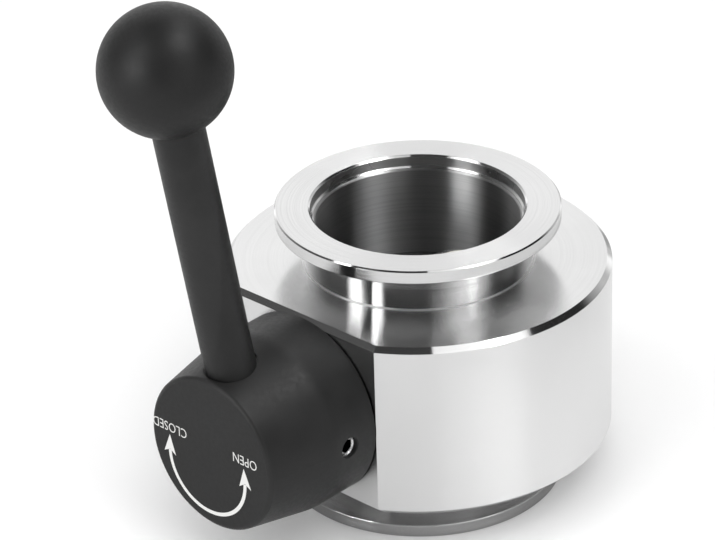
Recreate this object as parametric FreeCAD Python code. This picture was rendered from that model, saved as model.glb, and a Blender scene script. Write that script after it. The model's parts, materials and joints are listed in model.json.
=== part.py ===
import FreeCAD, Part
import math
import os

# Lever vacuum valve: a quarter-turn butterfly valve between two clamp flanges, in millimetres.
# The origin is the centre of the lower port's sealing face, and +Z runs up the port axis.
# The stem lies along Y, and its hub and lever face -Y. The valve is drawn open, lever up.

V = FreeCAD.Vector

# Clearances between pieces
running_gap = 0.05
seated_gap = 0.02
slip_gap = 0.03
joining_gap = 0.05

# Ports with clamp flanges
flange_diameter = 55.0
rim_thickness = 2.6
rim_taper = 15.0
rim_edge = 0.25
neck_diameter = 44.5
neck_length = 11.0
neck_fillet = 0.8
neck_collar = 0.35
recess_diameter = 41.2
recess_depth = 2.6
recess_edge = 0.4
port_bore = 39.4
bore_edge = 0.3

# Body
body_height = 36.0
body_chamfer = 1.0
flat_cut = 4.65

# Seat, and the disc that sits beside the stem's axis so that its seal ring runs all round
seat_height = 16.0
seat_stem_gap = 0.1
disc_offset = 3.2
disc_thickness = 4.0
disc_margin = 1.0
disc_rim_gap = 0.2
disc_back_lip = 0.8
disc_seal_cord = 1.8

# Stem and the countersunk screws that hold the disc on its flat
stem_diameter = 8.0
disc_flat_end_gap = 0.1
screw_spacing = 18.0
screw_diameter = 2.9
screw_head_diameter = 5.4
screw_head_inset = 0.1
screw_length = 9.0
screw_socket_width = 2.0
screw_socket_depth = 1.2

# Gland in front of the stem's seals, from the bore out to the flat
gland_wall = 1.75
seal_cord = 1.9
spacer_length = 1.05
bush_length = 2.3
ring_thickness = 1.0
ring_groove_depth = 0.5
ring_inset = 0.2
ring_band = 1.85
ring_opening = 60.0

# Rear bearing
rear_bush_wall = 1.0
rear_bush_length = 7.5
pad_thickness = 1.0

# Hub, a little taller than the body's flat
hub_overhang = 0.2
hub_collar = 10.3
hub_cone = 15.0
hub_edge = 0.9
hub_shoulder_round = 12.0
hub_back_edge = 0.15
hub_gap = 0.2
stem_engagement = 13.2

# Set screw of the hub, on the stem's small flat
set_screw_diameter = 4.0
set_screw_length = 13.8
set_screw_inset = 7.0
set_screw_mouth = 0.2
set_socket_width = 2.6
set_socket_depth = 2.5
set_socket_rim = 0.15
set_socket_funnel = 0.25
stem_flat_cut = 0.6
stem_flat_length = 11.0

# Stop and detent between hub and flat
stop_inset = 5.7
stop_pin_diameter = 3.0
stop_pin_depth = 5.0
stop_pin_reach = 3.0
stop_pin_angle = 225.0
stop_gap = 0.1
washer_margin = 1.0
washer_recess = 0.2
handle_turn = 90.0
detent_ball_diameter = 3.0
dimple_depth = 0.65
spring_wire = 0.4
spring_pitch = 1.0
spring_turns = 7

# Lever and knob; the rod stands square on the hub's cone
lever_tilt = 10.6
rod_diameter = 9.6
rod_foot_inset = 6.15
rod_reach = 53.9
rod_socket_depth = 3.4
rod_relief_diameter = 10.4
rod_relief_depth = 0.5
stud_diameter = 6.0
stud_grip = 7.0
stud_end_gap = 0.6
knob_diameter = 24.0
knob_seat_margin = 0.1
insert_diameter = 8.4
insert_length = 10.0

# Radii and places that follow from the sizes above
port_radius = port_bore / 2
neck_radius = neck_diameter / 2
flange_radius = flange_diameter / 2
total_height = body_height + 2 * neck_length
stem_height = total_height / 2
stem_radius = stem_diameter / 2
body_bore = neck_radius + joining_gap
disc_radius = port_radius - disc_margin
disc_front = disc_offset + disc_thickness
disc_centre = V(0, 0, stem_height)
sweep_radius = port_radius - running_gap
disc_seal_radius = disc_seal_cord / 2
disc_seal_place = disc_offset + disc_back_lip + running_gap + disc_seal_radius
disc_seal_ring = math.sqrt((sweep_radius - disc_seal_radius) ** 2 - disc_seal_place ** 2)

gland_radius = stem_radius + seal_cord + 2 * running_gap
gland_floor = body_bore + gland_wall
inner_seal_start = gland_floor + running_gap
spacer_start = inner_seal_start + seal_cord + running_gap
outer_seal_start = spacer_start + spacer_length + running_gap
bush_start = outer_seal_start + seal_cord + running_gap
ring_start = bush_start + bush_length
flat_reach = ring_start + ring_thickness + ring_inset
body_radius = flat_reach + flat_cut

rear_bush_radius = stem_radius + running_gap + rear_bush_wall
stem_rear = body_bore + rear_bush_length
rear_hole_end = stem_rear + pad_thickness + 2 * running_gap

hub_radius = body_height / 2 + hub_overhang
hub_back = flat_reach + hub_gap
hub_front = hub_back + hub_collar + hub_cone
tilt = math.radians(lever_tilt)
hub_face_radius = hub_radius - hub_cone * math.tan(tilt)
stem_front = hub_back + stem_engagement
set_screw_reach = hub_back + set_screw_inset
stem_flat = stem_radius - stem_flat_cut
stop_radius = hub_radius - stop_inset
washer_radius = stop_radius - stop_pin_diameter / 2 - washer_margin

rod_radius = rod_diameter / 2
rod_foot_reach = hub_front - rod_foot_inset
rod_foot_height = hub_face_radius + rod_foot_inset * math.tan(tilt)
rod_end = seated_gap - rod_socket_depth
stud_radius = stud_diameter / 2
knob_radius = knob_diameter / 2
knob_seat_radius = rod_radius + knob_seat_margin
knob_centre = rod_reach + math.sqrt(knob_radius ** 2 - knob_seat_radius ** 2)


def turned(outline):
    """Solid of revolution about Z from a closed outline of (radius, height) points."""
    points = [V(radius, 0, height) for radius, height in outline]
    wire = Part.makePolygon(points + points[:1])
    return Part.Face(wire).revolve(V(0, 0, 0), V(0, 0, 1), 360)


def tube(outer, inner, start, end):
    """Plain ring about Z."""
    return turned([(inner, start), (outer, start), (outer, end), (inner, end)])


def on_stem(shape):
    """Turn a shape drawn about Z so that it lies on the stem's axis, its heights counted towards the hub."""
    shape = shape.copy()
    shape.rotate(V(0, 0, 0), V(1, 0, 0), 90)
    shape.translate(V(0, 0, stem_height))
    return shape


def on_lever(shape):
    """Turn a shape drawn about Z so that it lies on the rod's axis, heights counted from the hub's cone."""
    shape = shape.copy()
    shape.rotate(V(0, 0, 0), V(1, 0, 0), lever_tilt)
    shape.translate(V(0, -rod_foot_reach, stem_height + rod_foot_height))
    return shape


def shaft(radius, start, end):
    """Cylinder on the stem's axis between two distances from the port axis."""
    return Part.makeCylinder(radius, end - start, V(0, -start, stem_height), V(0, -1, 0))


def stop_place(angle, reach):
    """Point on the stop circle, its angle clockwise from the top as seen from the hub's side."""
    turn = math.radians(angle)
    return V(stop_radius * math.sin(turn), -reach, stem_height + stop_radius * math.cos(turn))


def stop_rod(radius, angle, start, end):
    """Cylinder through a place on the stop circle, between two distances from the port axis."""
    return Part.makeCylinder(radius, end - start, stop_place(angle, start), V(0, -1, 0))


def hexagon(width, depth, place, direction):
    """Hexagonal prism for a socket, sized across its flats."""
    corner = width / 2 / math.cos(math.radians(30))
    points = [V(corner, 0, 0)]
    for step in range(1, 7):
        turn = math.radians(60 * step)
        points.append(V(corner * math.cos(turn), corner * math.sin(turn), 0))
    prism = Part.Face(Part.makePolygon(points)).extrude(V(0, 0, depth))
    prism.Placement = FreeCAD.Placement(place, FreeCAD.Rotation(V(0, 0, 1), direction))
    return prism


def round_circle(shape, radius, height, size, chamfer=False):
    """Round or chamfer the circular edges about Z that have one radius and lie at one height."""
    def matches(edge):
        if not isinstance(edge.Curve, Part.Circle):
            return False
        level = abs(edge.BoundBox.ZMin - height) < 1e-4 and edge.BoundBox.ZLength < 1e-4
        return level and abs(edge.Curve.Radius - radius) < 1e-4
    edges = [edge for edge in shape.Edges if matches(edge)]
    if chamfer:
        return shape.makeChamfer(size, edges)
    return shape.makeFillet(size, edges)


def lower_port():
    """Clamp flange, neck and the tube that is let into the body as far as the seat."""
    taper_drop = (flange_radius - neck_radius) * math.tan(math.radians(rim_taper))
    taper_end = rim_thickness + taper_drop
    recess_radius = recess_diameter / 2
    tube_end = stem_height - seat_height / 2
    port = turned([
        (recess_radius + recess_edge, 0),
        (flange_radius - rim_edge, 0),
        (flange_radius, rim_edge),
        (flange_radius, rim_thickness),
        (neck_radius, taper_end),
        (neck_radius, neck_length - neck_collar),
        (neck_radius + neck_collar, neck_length),
        (neck_radius, neck_length),
        (neck_radius, tube_end),
        (port_radius, tube_end),
        (port_radius, recess_depth + bore_edge),
        (port_radius + bore_edge, recess_depth),
        (recess_radius, recess_depth),
        (recess_radius, recess_edge),
    ])
    return round_circle(port, neck_radius, taper_end, neck_fillet)


def upper_port():
    """The same port, turned over onto the body's other end."""
    return lower_port().rotated(V(0, 0, stem_height), V(1, 0, 0), 180)


def valve_body():
    """Round block with a milled flat, bored for the ports, the stem, its gland and the rear bearing."""
    base = V(0, 0, neck_length)
    block = Part.makeCylinder(body_radius, body_height, base)
    mill_corner = V(-body_radius, -flat_reach - body_radius, neck_length)
    block = block.cut(Part.makeBox(2 * body_radius, body_radius, body_height, mill_corner))
    rims = [edge for edge in block.Edges if edge.BoundBox.ZLength < 1e-6]
    block = block.makeChamfer(body_chamfer, rims)
    groove_radius = gland_radius + ring_groove_depth
    cuts = [
        Part.makeCylinder(body_bore, body_height, base),
        shaft(stem_radius + running_gap, 0, flat_reach),
        shaft(gland_radius, gland_floor, flat_reach),
        shaft(groove_radius, ring_start, ring_start + ring_thickness),
        shaft(rear_bush_radius + seated_gap, -rear_hole_end, 0),
        stop_rod(stop_pin_diameter / 2 + seated_gap, stop_pin_angle, flat_reach - stop_pin_depth, flat_reach),
    ]
    for angle in (0, handle_turn):
        cuts.append(detent_dimple(angle))
    return block.cut(cuts)


def detent_dimple(angle):
    """Shallow round hollow in the flat for the detent ball."""
    centre_reach = flat_reach + running_gap + detent_ball_diameter / 2
    return Part.makeSphere(centre_reach - flat_reach + dimple_depth, stop_place(angle, centre_reach))


def seat_ring():
    """Ring between the two port tubes: hollow-ball seat below the stem, straight bore above it."""
    half = seat_height / 2
    bottom = V(math.sqrt(port_radius ** 2 - half ** 2), 0, -half)
    turn = math.asin(half / port_radius) / 2
    middle = V(port_radius * math.cos(turn), 0, -port_radius * math.sin(turn))
    points = [
        V(port_radius, 0, 0),
        V(port_radius, 0, half),
        V(neck_radius, 0, half),
        V(neck_radius, 0, -half),
        bottom,
    ]
    edges = [Part.LineSegment(one, other).toShape() for one, other in zip(points, points[1:])]
    edges.append(Part.Arc(bottom, middle, points[0]).toShape())
    ring = Part.Face(Part.Wire(edges)).revolve(V(0, 0, 0), V(0, 0, 1), 360)
    ring.translate(disc_centre)
    return ring.cut(shaft(stem_radius + seat_stem_gap, -body_bore, body_bore))


def across(radius, start, end, centre):
    """Cylinder along X through a point of the stem's axis."""
    return Part.makeCylinder(radius, end - start, centre + V(start, 0, 0), V(1, 0, 0))


def screw_places():
    """Centres of the two disc screws along the stem."""
    return [V(0, side * screw_spacing / 2, stem_height) for side in (-1, 1)]


def disc_screw(place, gap):
    """Countersunk screw through disc and stem, or its hole when the gap isn't zero."""
    radius = screw_diameter / 2 + gap
    top = disc_front - screw_head_inset
    head_radius = screw_head_diameter / 2 + gap
    head_height = head_radius - radius
    shank = across(radius, top - screw_length - gap, top - head_height, place)
    head = Part.makeCone(radius, head_radius, head_height, place + V(top - head_height, 0, 0), V(1, 0, 0))
    if gap:
        head = head.fuse(across(head_radius, top, disc_front, place))
    return shank.fuse(head)


def disc():
    """Closing disc with a rim that clears the seat's ball and a groove for its seal, edge-on to the flow."""
    plate = across(disc_radius, disc_offset, disc_front, disc_centre)
    plate = plate.common(Part.makeSphere(sweep_radius - disc_rim_gap, disc_centre))
    groove_start = disc_offset + disc_back_lip
    groove_end = groove_start + disc_seal_cord + 2 * running_gap
    groove_floor = disc_seal_ring - disc_seal_radius - running_gap
    groove = across(port_radius, groove_start, groove_end, disc_centre)
    groove = groove.cut(across(groove_floor, groove_start, groove_end, disc_centre))
    return plate.cut([groove] + [disc_screw(place, slip_gap) for place in screw_places()])


def disc_seal():
    """Round-section seal ring in the disc's rim."""
    place = disc_centre + V(disc_seal_place, 0, 0)
    return Part.makeTorus(disc_seal_ring, disc_seal_radius, place, V(1, 0, 0))


def stem():
    """Round stem with a long flat for the disc, its two screw holes and a small flat for the set screw."""
    bar = shaft(stem_radius, -stem_rear, stem_front)
    reach = disc_radius + disc_flat_end_gap
    disc_flat_corner = V(disc_offset, -reach, stem_height - stem_radius)
    disc_flat = Part.makeBox(stem_radius, 2 * reach, stem_diameter, disc_flat_corner)
    flat_corner = V(stem_flat, -stem_front, stem_height - stem_radius)
    screw_flat = Part.makeBox(stem_radius, stem_flat_length, stem_diameter, flat_corner)
    holes = [disc_screw(place, slip_gap) for place in screw_places()]
    return bar.cut([disc_flat, screw_flat] + holes)


def disc_screws():
    """The two screws that hold the disc."""
    screws = []
    for place in screw_places():
        socket_place = place + V(disc_front - screw_head_inset - screw_socket_depth, 0, 0)
        socket = hexagon(screw_socket_width, screw_socket_depth, socket_place, V(1, 0, 0))
        screws.append(disc_screw(place, 0).cut(socket))
    return Part.makeCompound(screws)


def stem_seal(start):
    """Round-section seal ring on the stem."""
    cord_radius = seal_cord / 2
    ring_radius = stem_radius + running_gap + cord_radius
    return on_stem(Part.makeTorus(ring_radius, cord_radius, V(0, 0, start + cord_radius)))


def inner_stem_seal():
    return stem_seal(inner_seal_start)


def outer_stem_seal():
    return stem_seal(outer_seal_start)


def gland_ring(start, length):
    """Plain ring that fills the gland between its wall and the stem."""
    return on_stem(tube(gland_radius - running_gap, stem_radius + running_gap, start, start + length))


def seal_spacer():
    return gland_ring(spacer_start, spacer_length)


def gland_bush():
    return gland_ring(bush_start, bush_length)


def retaining_ring():
    """Open spring ring in the gland's groove."""
    outer = gland_radius + ring_groove_depth - running_gap
    ring = tube(outer, outer - ring_band, ring_start + seated_gap, ring_start + ring_thickness - seated_gap)
    spread = math.radians(ring_opening / 2)
    reach = 2 * outer
    side = reach * math.tan(spread)
    corners = [V(0, 0, 0), V(side, -reach, 0), V(-side, -reach, 0), V(0, 0, 0)]
    wedge = Part.Face(Part.makePolygon(corners)).extrude(V(0, 0, ring_start + 2 * ring_thickness))
    return on_stem(ring.cut(wedge))


def rear_bushing():
    """Plain bearing for the stem's blind end."""
    return on_stem(tube(rear_bush_radius, stem_radius + running_gap, -stem_rear, -body_bore))


def thrust_pad():
    """Pad between the stem's blind end and the body."""
    start = -rear_hole_end + running_gap
    return on_stem(Part.makeCylinder(rear_bush_radius, pad_thickness, V(0, 0, start)))


def thrust_washer():
    """Thin washer that keeps the hub off the flat, half sunk in the hub's back."""
    start = flat_reach + seated_gap
    end = hub_back + washer_recess - seated_gap
    return on_stem(tube(washer_radius, stem_radius + running_gap, start, end))


def stop_pin():
    """Pin pressed into the flat; it runs in the hub's curved slot."""
    start = flat_reach - stop_pin_depth + seated_gap
    return stop_rod(stop_pin_diameter / 2, stop_pin_angle, start, hub_back + stop_pin_reach)


def stop_slot():
    """Curved slot in the hub's back, a quarter turn long between the two stops."""
    half_width = stop_pin_diameter / 2 + stop_gap
    depth = hub_back + stop_pin_reach + stop_gap
    turns = (stop_pin_angle - handle_turn, stop_pin_angle)
    ends = [stop_rod(half_width, angle, hub_back, depth) for angle in turns]
    ring = on_stem(tube(stop_radius + half_width, stop_radius - half_width, hub_back, depth))
    far = 2 * hub_radius
    corners = [V(0, -hub_back, stem_height)]
    for angle in (turns[0], sum(turns) / 2, turns[1]):
        turn = math.radians(angle)
        corners.append(V(far * math.sin(turn), -hub_back, stem_height + far * math.cos(turn)))
    corners.append(corners[0])
    sector = Part.Face(Part.makePolygon(corners)).extrude(V(0, hub_back - depth, 0))
    return ring.common(sector).fuse(ends).removeSplitter()


def detent_hole_depth():
    """How far the detent's spring hole reaches into the hub."""
    free_length = spring_turns * spring_pitch + 2 * spring_wire
    return flat_reach + detent_ball_diameter + 3 * running_gap + free_length


def detent_ball():
    """Ball that the spring presses towards the flat."""
    ball_radius = detent_ball_diameter / 2
    return Part.makeSphere(ball_radius, stop_place(0, flat_reach + running_gap + ball_radius))


def detent_spring():
    """Coil spring behind the detent ball."""
    coil_radius = detent_ball_diameter / 2 - spring_wire / 2
    length = spring_turns * spring_pitch
    start = flat_reach + detent_ball_diameter + 2 * running_gap + spring_wire
    path = Part.Wire(Part.makeHelix(spring_pitch, length, coil_radius).Edges)
    section = Part.Wire(Part.makeCircle(spring_wire / 2, V(coil_radius, 0, 0), V(0, 1, 0)))
    coil = path.makePipeShell([section], True, True)
    coil.rotate(V(0, 0, 0), V(1, 0, 0), 90)
    coil.translate(stop_place(0, start))
    return coil


def hub():
    """Round hub, conical in front, bored for the stem, set screw, lever, stop pin and detent."""
    shoulder = hub_back + hub_collar
    blank = turned([
        (0, hub_back),
        (hub_radius, hub_back),
        (hub_radius, shoulder),
        (hub_face_radius, hub_front),
        (0, hub_front),
    ])
    blank = round_circle(blank, hub_radius, shoulder, hub_shoulder_round)
    blank = round_circle(blank, hub_face_radius, hub_front, hub_edge)
    blank = on_stem(round_circle(blank, hub_radius, hub_back, hub_back_edge, chamfer=True))
    screw_centre = V(0, -set_screw_reach, stem_height)
    screw_radius = set_screw_diameter / 2 + slip_gap
    mouth = Part.makeCone(
        screw_radius,
        screw_radius + 2 * set_screw_mouth,
        2 * set_screw_mouth,
        screw_centre + V(hub_radius - set_screw_mouth, 0, 0),
        V(1, 0, 0),
    )
    stud_hole = Part.makeCylinder(stud_radius + slip_gap, rod_foot_height, V(0, 0, stud_hole_end()))
    cuts = [
        shaft(stem_radius + slip_gap, hub_back, stem_front + slip_gap),
        shaft(washer_radius + running_gap, hub_back, hub_back + washer_recess),
        across(screw_radius, 0, 2 * hub_radius, screw_centre),
        mouth,
        on_lever(Part.makeCylinder(rod_radius + running_gap, rod_diameter, V(0, 0, -rod_socket_depth))),
        on_lever(Part.makeCylinder(rod_relief_diameter / 2, rod_diameter, V(0, 0, -rod_relief_depth))),
        on_lever(stud_hole),
        stop_slot(),
        stop_rod(detent_ball_diameter / 2 + running_gap, 0, hub_back, detent_hole_depth()),
    ]
    return blank.cut(cuts)


def hub_set_screw():
    """Grub screw that bears on the stem's small flat."""
    centre = V(0, -set_screw_reach, stem_height)
    outer_end = stem_flat + seated_gap + set_screw_length
    screw = across(set_screw_diameter / 2, stem_flat + seated_gap, outer_end, centre)
    mouth_radius = set_screw_diameter / 2 - set_socket_rim
    funnel = Part.makeCone(
        mouth_radius - set_socket_funnel,
        mouth_radius,
        set_socket_funnel,
        centre + V(outer_end - set_socket_funnel, 0, 0),
        V(1, 0, 0),
    )
    socket_place = centre + V(outer_end - set_socket_depth, 0, 0)
    socket = hexagon(set_socket_width, set_socket_depth, socket_place, V(1, 0, 0))
    return screw.cut([funnel, socket])


def stud_hole_end():
    """Depth of the threaded hole in the hub, along the rod's axis from the cone."""
    return -rod_socket_depth - stud_grip - stud_end_gap


def stud(middle):
    """Threaded stud along the lever, gripped to the same depth on both sides of a joint."""
    return on_lever(Part.makeCylinder(stud_radius, 2 * stud_grip, V(0, 0, middle - stud_grip)))


def rod_stud():
    return stud(rod_end)


def knob_stud():
    return stud(rod_reach)


def lever_rod():
    """Round rod let into the hub's cone, tapped at both ends."""
    hole_depth = stud_grip + stud_end_gap
    rod = Part.makeCylinder(rod_radius, rod_reach - rod_end, V(0, 0, rod_end))
    lower_hole = Part.makeCylinder(stud_radius + slip_gap, hole_depth, V(0, 0, rod_end))
    upper_hole = Part.makeCylinder(stud_radius + slip_gap, hole_depth, V(0, 0, rod_reach - hole_depth))
    return on_lever(rod.cut([lower_hole, upper_hole]))


def ball_knob():
    """Ball with a small seat for the rod and a pocket for its insert."""
    ball = Part.makeSphere(knob_radius, V(0, 0, knob_centre))
    below = Part.makeCylinder(knob_radius, knob_radius, V(0, 0, rod_reach - knob_radius))
    pocket_radius = insert_diameter / 2 + seated_gap
    pocket = Part.makeCylinder(pocket_radius, insert_length + seated_gap, V(0, 0, rod_reach))
    return on_lever(ball.cut([below, pocket]))


def knob_insert():
    """Threaded insert moulded into the knob."""
    return on_lever(tube(insert_diameter / 2, stud_radius + slip_gap, rod_reach, rod_reach + insert_length))


pieces = [
    valve_body,
    upper_port,
    lower_port,
    seat_ring,
    disc,
    disc_seal,
    disc_screws,
    stem,
    inner_stem_seal,
    seal_spacer,
    outer_stem_seal,
    gland_bush,
    retaining_ring,
    rear_bushing,
    thrust_pad,
    thrust_washer,
    stop_pin,
    detent_ball,
    detent_spring,
    hub,
    hub_set_screw,
    lever_rod,
    rod_stud,
    knob_stud,
    ball_knob,
    knob_insert,
]

os.makedirs("parts", exist_ok=True)
for piece in pieces:
    shape = piece()
    shape.exportStep("parts/" + piece.__name__ + ".step")
    print(piece.__name__, len(shape.Solids), shape.isValid(), round(shape.Volume, 1))
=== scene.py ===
"""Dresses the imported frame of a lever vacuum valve.

The ports and the lever's rod and ball are turned again with softened edges, the hub's face gets its painted
marks, and every other piece keeps its CAD shape and gets its finish. The floor, the studio and the camera come
last.
"""
import json
import math

import bmesh
import bpy
from mathutils import Matrix, Vector


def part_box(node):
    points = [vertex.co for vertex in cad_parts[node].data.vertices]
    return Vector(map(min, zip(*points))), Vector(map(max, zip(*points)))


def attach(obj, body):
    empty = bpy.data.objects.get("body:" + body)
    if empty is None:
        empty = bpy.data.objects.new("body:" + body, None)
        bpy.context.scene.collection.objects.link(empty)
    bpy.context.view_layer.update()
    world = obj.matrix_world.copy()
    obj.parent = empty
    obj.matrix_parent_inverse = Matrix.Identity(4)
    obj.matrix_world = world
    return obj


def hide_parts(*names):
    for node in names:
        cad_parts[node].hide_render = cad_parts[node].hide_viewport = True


bl_info = {
    "name": "Lever vacuum valve",
    "version": (1, 0, 0),
    "blender": (4, 5, 0),
    "location": "View3D > Sidebar > Valve",
    "description": "Dresses the packed frame of a lever vacuum valve",
    "category": "Object",
}

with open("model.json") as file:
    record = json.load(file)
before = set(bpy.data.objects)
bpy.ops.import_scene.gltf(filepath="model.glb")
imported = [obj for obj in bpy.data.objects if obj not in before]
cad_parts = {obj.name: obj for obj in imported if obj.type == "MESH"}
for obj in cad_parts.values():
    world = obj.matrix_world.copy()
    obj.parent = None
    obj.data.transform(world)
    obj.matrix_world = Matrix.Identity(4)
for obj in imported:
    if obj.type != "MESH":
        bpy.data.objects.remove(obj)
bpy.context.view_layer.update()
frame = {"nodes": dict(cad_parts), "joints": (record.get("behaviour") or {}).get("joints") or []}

# Everything is in metres in the frame's own axes: Z up the port axis from the lower sealing face, and the hub
# towards -Y. A length in millimetres is multiplied by MM
MM = 0.001
PORT_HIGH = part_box("lower_port")[1]
STEM_HEIGHT = frame["joints"][0]["pos_m"][2]
# The hub's face, and the end of the hub's set screw
FACE_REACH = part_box("hub")[0].y
SCREW_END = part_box("hub_set_screw")[1].x
# Points closer than this are one point
SAME_POINT = 0.0002 * MM


def linear(hex_colour):
    """Linear RGBA of an sRGB hex colour."""
    values = [int(hex_colour[i:i + 2], 16) / 255 for i in (1, 3, 5)]
    return [v / 12.92 if v <= 0.04045 else ((v + 0.055) / 1.055) ** 2.4 for v in values] + [1.0]


def size(name, description, default):
    """Length property of a size that a user would change."""
    return bpy.props.FloatProperty(
        name=name, description=description, default=default, unit="LENGTH", subtype="DISTANCE", precision=5)


def angle(name, description, degrees):
    """Angle property, its default given in degrees."""
    return bpy.props.FloatProperty(
        name=name, description=description, default=math.radians(degrees), unit="ROTATION", subtype="ANGLE")


def colour(name, description, hex_colour):
    """Colour property, its default given as sRGB hex."""
    return bpy.props.FloatVectorProperty(
        name=name, description=description, default=linear(hex_colour), size=4, subtype="COLOR", min=0, max=1)


class ValvePortSizes(bpy.types.PropertyGroup):
    """Turned sizes of a port, the same for both"""
    flange: size("Flange", "Diameter of the clamp flange", PORT_HIGH.x * 2)
    rim: size("Rim", "Thickness of the flange at its edge", 2.6 * MM)
    taper: angle("Taper", "Slope of the flange's back", 15)
    rim_edge: size("Rim edge", "Broken edge between sealing face and rim", 0.27 * MM)
    neck: size("Neck", "Diameter of the neck", 44.5 * MM)
    neck_length: size("Neck length", "From the sealing face to the body", 11 * MM)
    collar: size("Collar", "Bead of the joint round the neck's foot", 0.26 * MM)
    fillet: size("Fillet", "Round between the flange's back and the neck", 0.8 * MM)
    recess: size("Recess", "Diameter of the recess for the centring ring", 41.2 * MM)
    recess_depth: size("Recess depth", "Depth of the recess", 2.6 * MM)
    recess_edge: size("Recess edge", "Broken edge of the recess", 0.4 * MM)
    recess_corner: size("Recess corner", "Cone that the tool leaves in the recess's corner", 0.36 * MM)
    bore: size("Bore", "Diameter of the flow passage", 39.4 * MM)
    bore_edge: size("Bore edge", "Broken edge of the bore", 0.3 * MM)
    tube_length: size("Tube length", "From the sealing face to the tube's end in the body", PORT_HIGH.z)


class ValveLeverSizes(bpy.types.PropertyGroup):
    """Turned sizes of the lever's rod and ball"""
    tilt: angle("Tilt", "Lean of the rod away from the body", 10.6)
    foot_reach: size("Foot reach", "From the port axis to the rod's foot", 51.95 * MM)
    foot_height: size("Foot height", "From the stem's axis to the rod's foot", 16.5406 * MM)
    rod: size("Rod", "Diameter of the rod", 9.6 * MM)
    rod_start: size("Rod start", "Where the rod begins in its socket", -3.38 * MM)
    rod_reach: size("Rod reach", "From the hub's cone to the ball", 53.9 * MM)
    rod_edge: size("Rod edge", "Softened edge at the rod's ends", 0.2 * MM)
    thread: size("Thread hole", "Diameter of the holes for the studs", 6.06 * MM)
    thread_depth: size("Thread depth", "Depth of the holes for the studs", 7.6 * MM)
    ball: size("Ball", "Diameter of the ball knob", 23.98 * MM)
    seat: size("Seat", "Diameter of the ball's flat seat", 9.8 * MM)
    pocket: size("Pocket", "Diameter of the insert's pocket", 8.44 * MM)
    pocket_depth: size("Pocket depth", "Depth of the insert's pocket", 10.02 * MM)


class ValveMarkSizes(bpy.types.PropertyGroup):
    """Sizes of the marks on the hub's face"""
    radius: size("Arc radius", "Radius of the arrow's arc", 9.75 * MM)
    centre_x: size("Arc centre across", "Arc centre to the right of the stem's axis", -1.1 * MM)
    centre_z: size("Arc centre up", "Arc centre above the stem's axis", -3.0 * MM)
    left_tip_x: size("Left tip across", "Left arrow tip to the right of the stem's axis", -10.7 * MM)
    right_tip_x: size("Right tip across", "Right arrow tip to the right of the stem's axis", 8.5 * MM)
    tip_z: size("Tips up", "Arrow tips above the stem's axis", 0.25 * MM)
    stroke: size("Stroke", "Width of the arrow's arc", 0.74 * MM)
    head_length: size("Head length", "Length of an arrow head", 4.1 * MM)
    head_width: size("Head width", "Width of an arrow head", 3.0 * MM)
    letter_height: size("Letter height", "Height of the capital letters", 1.95 * MM)
    relief: size("Relief", "Thickness of the paint above the face", 0.03 * MM)


class ValveColours(bpy.types.PropertyGroup):
    """Colours of the finishes"""
    steel: colour("Steel", "Bare stainless steel", "#DADADA")
    # Painted shade: the inner pieces' steel is painted darker than the outer steel, for the dark bore they sit
    # in
    inner_steel: colour("Inner steel", "Steel of the inner pieces", "#A6A6A6")
    anodised: colour("Anodised", "Black anodised aluminium", "#191919")
    plastic: colour("Plastic", "Black moulded plastic", "#141414")
    paint: colour("Paint", "White marking paint", "#D9D9D7")
    rubber: colour("Rubber", "Black seal rubber", "#161616")
    white_plastic: colour("White plastic", "Bearing plastic", "#E4E2DA")
    brass: colour("Brass", "Brass of the knob's insert", "#C9A25C")
    floor: colour("Floor", "Paper under the valve", "#F6F6F6")


# Setting of a Map Range node that eases in and out
SMOOTH = {"interpolation_type": "SMOOTHSTEP"}
BLACK = (0, 0, 0, 1)
WHITE = (1, 1, 1, 1)


def add_node(tree, kind, inputs=(), **settings):
    """Add a node with its settings and links.

    The inputs are listed from the first socket on, or given by name or number. Each is a value, a socket to
    link, or a node whose first output is linked.
    """
    made = tree.nodes.new(kind)
    for key, value in settings.items():
        setattr(made, key, value)
    for key, value in inputs.items() if isinstance(inputs, dict) else enumerate(inputs):
        if isinstance(value, bpy.types.Node):
            value = value.outputs[0]
        if isinstance(value, bpy.types.NodeSocket):
            tree.links.new(value, made.inputs[key])
        else:
            made.inputs[key].default_value = value
    return made


def new_material(name):
    """Empty node material, and its tree."""
    made = bpy.data.materials.new(name)
    made.use_nodes = True
    made.node_tree.nodes.clear()
    return made, made.node_tree


def finish_material(tree, shader_inputs):
    """Join a Principled shader with these inputs to the material's output."""
    shader = add_node(tree, "ShaderNodeBsdfPrincipled", shader_inputs)
    add_node(tree, "ShaderNodeOutputMaterial", {"Surface": shader})


def toned(base, gain, lift=0.0):
    """A colour made lighter or darker, and no lighter than white."""
    return [min(1.0, channel * gain + lift) for channel in base[:3]] + [1.0]


def distance_from_axis(tree, place, kept):
    """Distance from an axis through the origin; kept is 1 in the directions square to it and 0 along it."""
    square_to = add_node(tree, "ShaderNodeVectorMath", [place, kept], operation="MULTIPLY")
    return add_node(tree, "ShaderNodeVectorMath", [square_to], operation="LENGTH").outputs["Value"]


def turned_marks(tree, place, pitch):
    """Pattern of a lathe's tool marks, with the distance from the port axis and the height it is made of.

    The noise changes once a pitch along both, and only slowly round the axis.
    """
    radius = distance_from_axis(tree, place, (1, 1, 0))
    parts = add_node(tree, "ShaderNodeSeparateXYZ", [place]).outputs
    around = add_node(tree, "ShaderNodeMath", [parts["Y"], radius], operation="DIVIDE")
    rings = add_node(tree, "ShaderNodeCombineXYZ", [radius, parts["Z"], around])
    scale = (1 / pitch, 1 / pitch, 0.625)
    scaled = add_node(tree, "ShaderNodeVectorMath", [rings, scale], operation="MULTIPLY")
    noise = {"Vector": scaled, "Scale": 1.0, "Detail": 3.0, "Roughness": 0.6}
    return add_node(tree, "ShaderNodeTexNoise", noise), radius, parts["Z"]


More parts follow.
